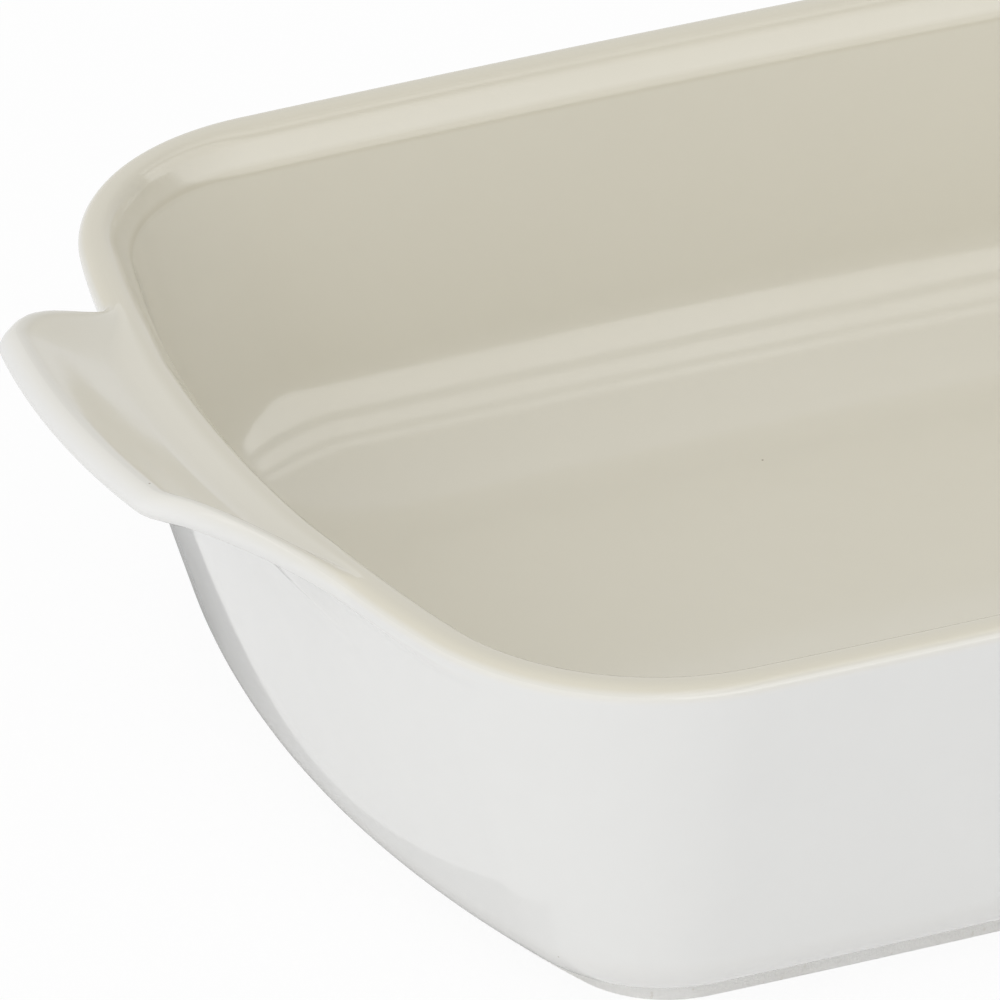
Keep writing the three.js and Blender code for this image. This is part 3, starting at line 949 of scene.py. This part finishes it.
class DISH_OT_exterior_glaze(Operator):
    """Makes the white glaze from the line on the lip down to the foot, and the white glaze under the dish"""

    bl_idname = "baking_dish.exterior_glaze"
    bl_label = "White exterior glaze"

    def execute(self, context):
        dish = context.scene.baking_dish
        glaze = dish.glaze
        section = Section(dish)
        points, normals, pooling, meeting = upper_surface(section)
        near = glaze_meeting(points, meeting, glaze)
        kept = slice(meeting, len(points))
        attributes = {"pooling": pooling[kept], "meeting": near[kept]}
        piece = make_coat("dish_exterior_glaze", points[kept], normals[kept], glaze, "", attributes)
        colours = (glaze.white, glaze.white_deep, glaze.white_thin, glaze.cream)
        material = glaze_material("White glaze", glaze, colours, glaze.white_roughness)
        dress(piece, "exterior_glaze", material)
        recess = dish_surface(section, section.recess_rows())
        facing = surface_normals(recess)
        facing[-1] = (0.0, 0.0, -1.0)
        pooled = glaze_pooling(recess, facing)
        middle = disc_rings(recess[-1], FLOOR_SHARES[::-1])
        recess = np.concatenate([recess, middle])
        facing = np.concatenate([facing, np.broadcast_to(facing[-1], middle.shape)])
        pooled = np.concatenate([pooled, np.broadcast_to(pooled[-1:], middle.shape[:2])])
        attributes = {"pooling": pooled, "meeting": np.zeros(pooled.shape)}
        under = make_coat("dish_underside_glaze", recess, facing, glaze, "last", attributes)
        dress(under, "underside_glaze", material)
        return {"FINISHED"}


WHITE = (1.0, 1.0, 1.0, 1.0)

# Rings of the studio floor and corners of each
FLOOR_RINGS = 8
FLOOR_CORNERS = 96


def floor_material(studio):
    """A pale floor. The camera and mirror-like reflections see it mostly as plain white, with its shadows in
    the rest."""
    material = bpy.data.materials.new("Studio floor")
    nodes = fresh_nodes(material)
    matte = nodes.add("ShaderNodeBsdfDiffuse", Color=colour_of(studio.floor)).outputs[0]
    glow = nodes.add("ShaderNodeEmission", Color=WHITE, Strength=1.0).outputs[0]
    seen = nodes.add("ShaderNodeLightPath").outputs
    mirrored = nodes.calculated("MULTIPLY", seen["Is Glossy Ray"], studio.floor_mirror)
    part = nodes.calculated("MULTIPLY_ADD", seen["Is Camera Ray"], studio.floor_glow, mirrored)
    nodes.add("ShaderNodeOutputMaterial", Surface=nodes.mixed(part, matte, glow))
    return material


def studio_floor(studio):
    """A flat disc of rings round the dish, whose radii grow with the square of their number."""
    low = FRAME_BOX[0].z
    radius = arc_share(FLOOR_RINGS)[1:, None] ** 2 * studio.floor_radius
    turn = np.arange(FLOOR_CORNERS)[None, :] * 2.0 * np.pi / FLOOR_CORNERS
    heights = np.full((FLOOR_RINGS, FLOOR_CORNERS), low)
    rings = np.stack([radius * np.cos(turn), radius * np.sin(turn), heights], axis=-1)
    vertices = np.concatenate([rings.reshape(-1, 3), [[0.0, 0.0, low]]])
    triangles = pole_triangles(FLOOR_RINGS * FLOOR_CORNERS, 0, FLOOR_CORNERS, False)
    quads = grid_quads(0, FLOOR_RINGS, FLOOR_CORNERS, True)
    floor = make_piece("studio_floor", vertices, quads, triangles, 0, {})
    floor.data.materials.append(floor_material(studio))


# Middle of the dome's bright front, and the ranges over which it changes upwards and towards that middle
DOME_FRONT_AZIMUTH = math.radians(-52.0)
DOME_FRONT_ELEVATION = math.radians(12.0)
DOME_RISE = (0.0, 0.9)
DOME_SPREAD = (0.2, 1.0)


def heading(azimuth, elevation):
    """The direction at an azimuth round from the front, which is -Y, and at an elevation."""
    level = math.cos(elevation)
    return Vector((math.sin(azimuth) * level, -math.cos(azimuth) * level, math.sin(elevation)))


def studio_dome(studio):
    """A white dome: the horizon's strength, changing smoothly to the sky's overhead, and more towards the
    front. The camera and mirror-like reflections see plain white."""
    world = bpy.data.worlds.new("Studio dome")
    nodes = fresh_nodes(world)
    way = nodes.add("ShaderNodeTexCoord").outputs["Generated"]
    up = nodes.add("ShaderNodeSeparateXYZ", Vector=way).outputs["Z"]
    rising = mapped(nodes, up, *DOME_RISE, studio.horizon, studio.sky)
    facing = nodes.add("ShaderNodeVectorMath", {"operation": "DOT_PRODUCT"})
    nodes.feed(facing.inputs[0], way)
    nodes.feed(facing.inputs[1], heading(DOME_FRONT_AZIMUTH, DOME_FRONT_ELEVATION))
    ahead = mapped(nodes, facing.outputs["Value"], *DOME_SPREAD, 0.0, studio.front)
    level = nodes.calculated("ADD", rising, ahead)
    dome = nodes.add("ShaderNodeBackground", Color=WHITE, Strength=level).outputs[0]
    plain = nodes.add("ShaderNodeBackground", Color=WHITE, Strength=1.0).outputs[0]
    seen = nodes.add("ShaderNodeLightPath").outputs
    part = nodes.calculated("MAXIMUM", seen["Is Camera Ray"], seen["Is Glossy Ray"])
    nodes.add("ShaderNodeOutputWorld", Surface=nodes.mixed(part, dome, plain))
    bpy.context.scene.world = world


# Softboxes: where they stand and how long they are, then each one's elevation, height and share of brightness
SOFTBOX_DISTANCE = 1.6
SOFTBOX_AZIMUTH = math.radians(36.0)
SOFTBOX_LENGTH = 4.0
SOFTBOXES = {
    "softbox_front": (math.radians(21.0), math.radians(26.0), 1.0),
    "softbox_upper": (math.radians(45.0), math.radians(9.0), 0.85),
    "softbox_top": (math.radians(56.0), math.radians(4.0), 0.75),
}


def softbox(name, elevation, height, brightness):
    """A wide area lamp in front of the dish, at an elevation and of a height that are angles as the dish sees
    it. Its power is its brightness times pi times its area, and it shows only in the glaze's reflections."""
    away = heading(SOFTBOX_AZIMUTH, elevation)
    lamp = bpy.data.lights.new(name, "AREA")
    lamp.shape = "RECTANGLE"
    lamp.size = SOFTBOX_LENGTH
    lamp.size_y = 2.0 * SOFTBOX_DISTANCE * math.tan(height / 2.0)
    lamp.energy = brightness * math.pi * lamp.size * lamp.size_y
    box = bpy.data.objects.new(name, lamp)
    box.location = away * SOFTBOX_DISTANCE
    box.rotation_euler = away.to_track_quat("Z", "Y").to_euler()
    box.visible_diffuse = False
    bpy.context.scene.collection.objects.link(box)


# Painted shadow card: its edges, its lift off the floor, and where and how far its painted shadow darkens
# towards the back
CARD_HALF_LENGTH = 0.1235
CARD_FRONT = -0.080
CARD_BACK = 0.130
CARD_LIFT = 0.0005
SHADOW_CARD_FADE = (-0.030, 0.080)
SHADOW_CARD_PALE = 0.75
SHADOW_CARD_GREY = 0.48


def painted_shadow_card():
    """A card of painted shadow on the floor under the dish, grey and darker towards the back. It stands for
    the dish's own shadow, shows only in the glaze's reflections, and draws the dark band of reflected painted
    shadow along the edge of the wall."""
    height = FRAME_BOX[0].z + CARD_LIFT
    corners = ((-1, CARD_FRONT), (1, CARD_FRONT), (1, CARD_BACK), (-1, CARD_BACK))
    vertices = np.array([(side * CARD_HALF_LENGTH, y, height) for side, y in corners])
    card = make_piece("painted_shadow_card", vertices, np.array([[0, 1, 2, 3]]), np.zeros((0, 3), int), 0, {})
    material = bpy.data.materials.new("Painted shadow card")
    nodes = fresh_nodes(material)
    place = nodes.add("ShaderNodeTexCoord").outputs["Object"]
    back = nodes.add("ShaderNodeSeparateXYZ", Vector=place).outputs["Y"]
    # The card's grey, darker towards the back, is painted shadow: the dish's own shadow on the floor, as its
    # reflections show it
    matte = nodes.add("ShaderNodeBsdfDiffuse", Color=mapped(nodes, back, *SHADOW_CARD_FADE, SHADOW_CARD_PALE, SHADOW_CARD_GREY))
    nodes.add("ShaderNodeOutputMaterial", Surface=matte.outputs[0])
    card.data.materials.append(material)
    card.visible_camera = False
    card.visible_diffuse = False
    card.visible_shadow = False


# Width of the camera's sensor in millimetres, and how far the camera sees
SENSOR_WIDTH = 36.0
CAMERA_RANGE = 50.0


def studio_camera(studio):
    """A long lens at the picture's viewing angle, aimed off the origin along the picture's right and up."""
    back = heading(studio.azimuth, studio.elevation)
    right = Vector((math.cos(studio.azimuth), math.sin(studio.azimuth), 0.0))
    up = back.cross(right)
    place = right * studio.aim_right + up * studio.aim_up + back * studio.distance
    data = bpy.data.cameras.new("picture_camera")
    data.sensor_width = SENSOR_WIDTH
    data.lens = studio.lens
    data.clip_end = CAMERA_RANGE
    camera = bpy.data.objects.new("picture_camera", data)
    camera.matrix_world = Matrix.Translation(place) @ Matrix((right, up, back)).transposed().to_4x4()
    bpy.context.scene.collection.objects.link(camera)
    bpy.context.scene.camera = camera


class DISH_OT_studio(Operator):
    """Makes the floor, the card of painted shadow, the dome, the softboxes and the camera"""

    bl_idname = "baking_dish.studio"
    bl_label = "Studio"

    def execute(self, context):
        studio = context.scene.baking_dish.studio
        studio_floor(studio)
        painted_shadow_card()
        studio_dome(studio)
        for name, (elevation, height, part) in SOFTBOXES.items():
            softbox(name, elevation, height, part * studio.softboxes)
        studio_camera(studio)
        context.scene.view_settings.view_transform = "Standard"
        return {"FINISHED"}


class DISH_PT_sidebar(Panel):
    """Lists the dish's settings and pieces"""

    bl_idname = "DISH_PT_sidebar"
    bl_label = "Square Baking Dish"
    bl_space_type = "VIEW_3D"
    bl_region_type = "UI"
    bl_category = "Baking Dish"

    def draw(self, context):
        dish = context.scene.baking_dish
        for group in (dish.rim, dish.wall, dish.wing, dish.glaze, dish.grid, dish.studio):
            box = self.layout.box()
            for key in group.__annotations__:
                box.prop(group, key)
        for operator in PIECES:
            self.layout.operator(operator.bl_idname)


PIECES = (DISH_OT_stoneware, DISH_OT_interior_glaze, DISH_OT_exterior_glaze, DISH_OT_studio)
SETTINGS = (DishRim, DishWall, DishWing, DishGlaze, DishGrid, DishStudio, BakingDish)


def register():
    for item in (*SETTINGS, *PIECES, DISH_PT_sidebar):
        bpy.utils.register_class(item)
    bpy.types.Scene.baking_dish = PointerProperty(type=BakingDish)


def unregister():
    del bpy.types.Scene.baking_dish
    for item in reversed((*SETTINGS, *PIECES, DISH_PT_sidebar)):
        bpy.utils.unregister_class(item)


def main():
    register()
    bpy.ops.baking_dish.stoneware()
    bpy.ops.baking_dish.interior_glaze()
    bpy.ops.baking_dish.exterior_glaze()
    bpy.ops.baking_dish.studio()


if __name__ == "__main__":
    main()
